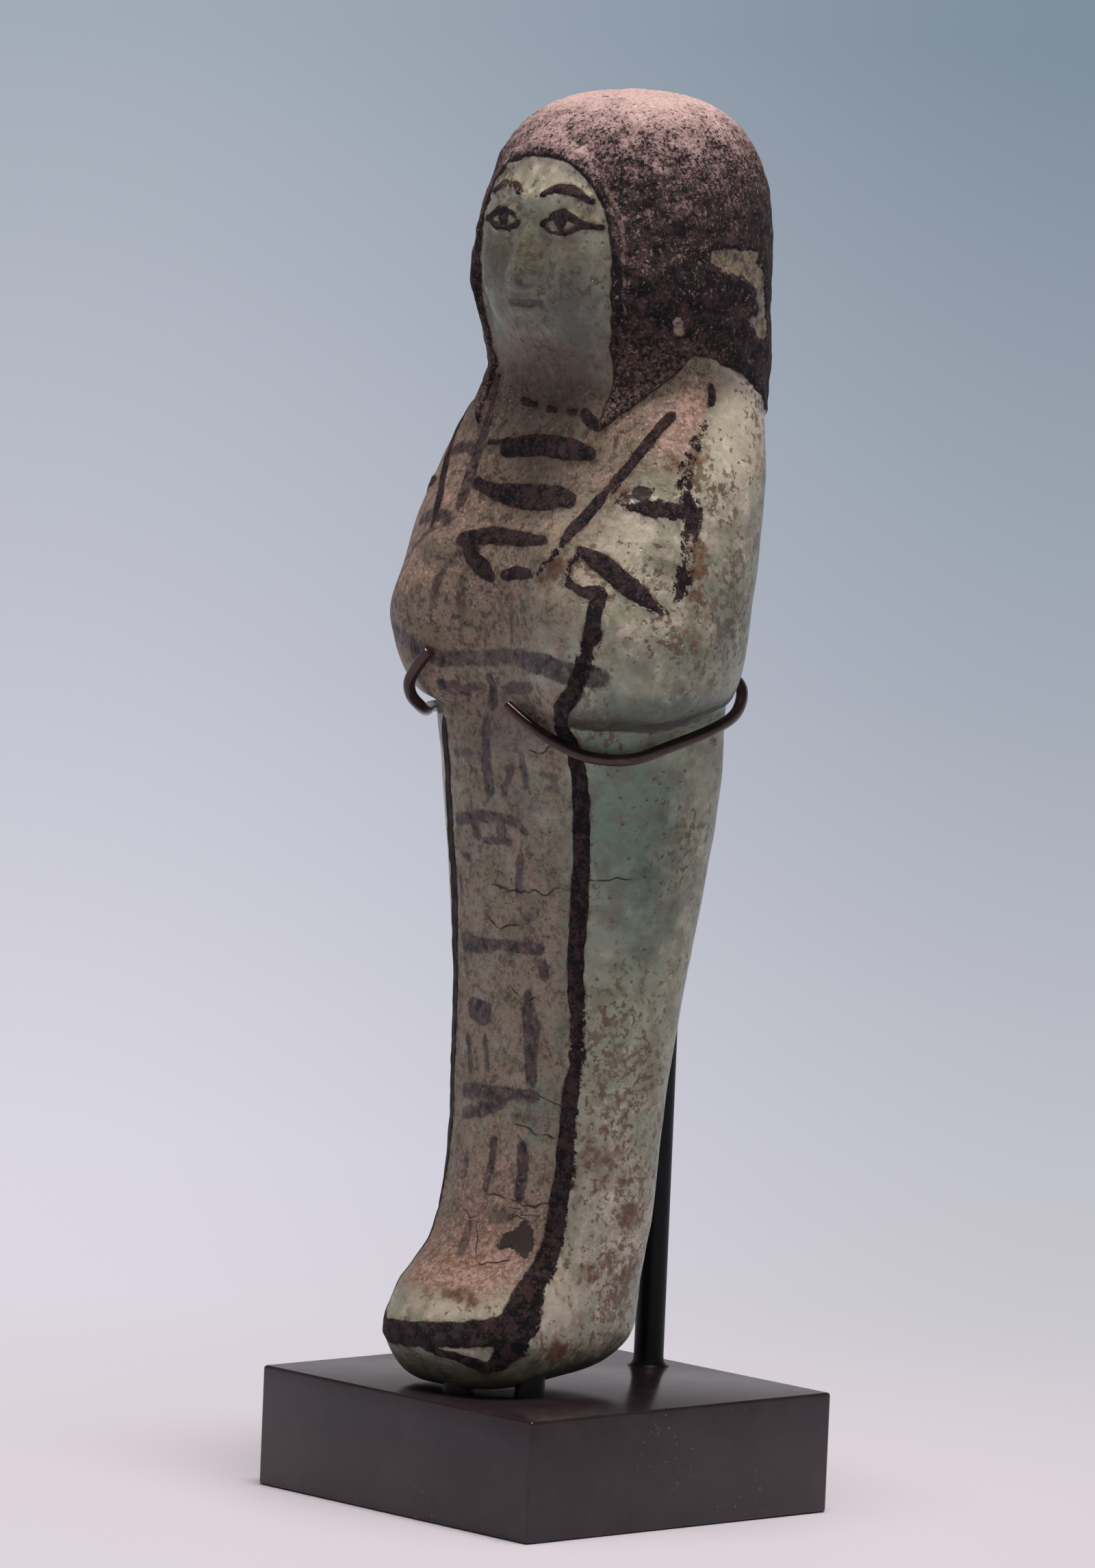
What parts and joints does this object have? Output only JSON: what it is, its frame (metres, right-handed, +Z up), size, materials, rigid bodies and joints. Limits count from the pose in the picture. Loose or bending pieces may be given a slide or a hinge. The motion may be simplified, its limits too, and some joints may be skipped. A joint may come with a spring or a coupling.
{
  "type": "ushabti figurine",
  "caption": "Mummy-shaped glazed faience funerary figurine with a long dark wig and folded arms, held upright by a wire clasp and rod on a square base block.",
  "frame": {"origin": "centre of the base block's flat underside", "axes": "+Z up, the figurine faces -Y and its left arm is on +X; the block's edges run along X and Y"},
  "size_m": [0.041, 0.04, 0.1398],
  "materials": {
    "faience": "worn glaze, pale grey-green with dark painted wig and marks",
    "base_paint": "satin brown-black paint",
    "rod_paint": "satin black paint",
    "wire_lacquer": "dark bronze lacquer"
  },
  "bodies": {
    "root": {"ushabti_figurine": "faience", "base_block": "base_paint", "upright_rod": "rod_paint", "clasp_wire": "wire_lacquer", "front_foot_peg": "rod_paint", "left_foot_peg": "rod_paint"}
  },
  "joints": []
}
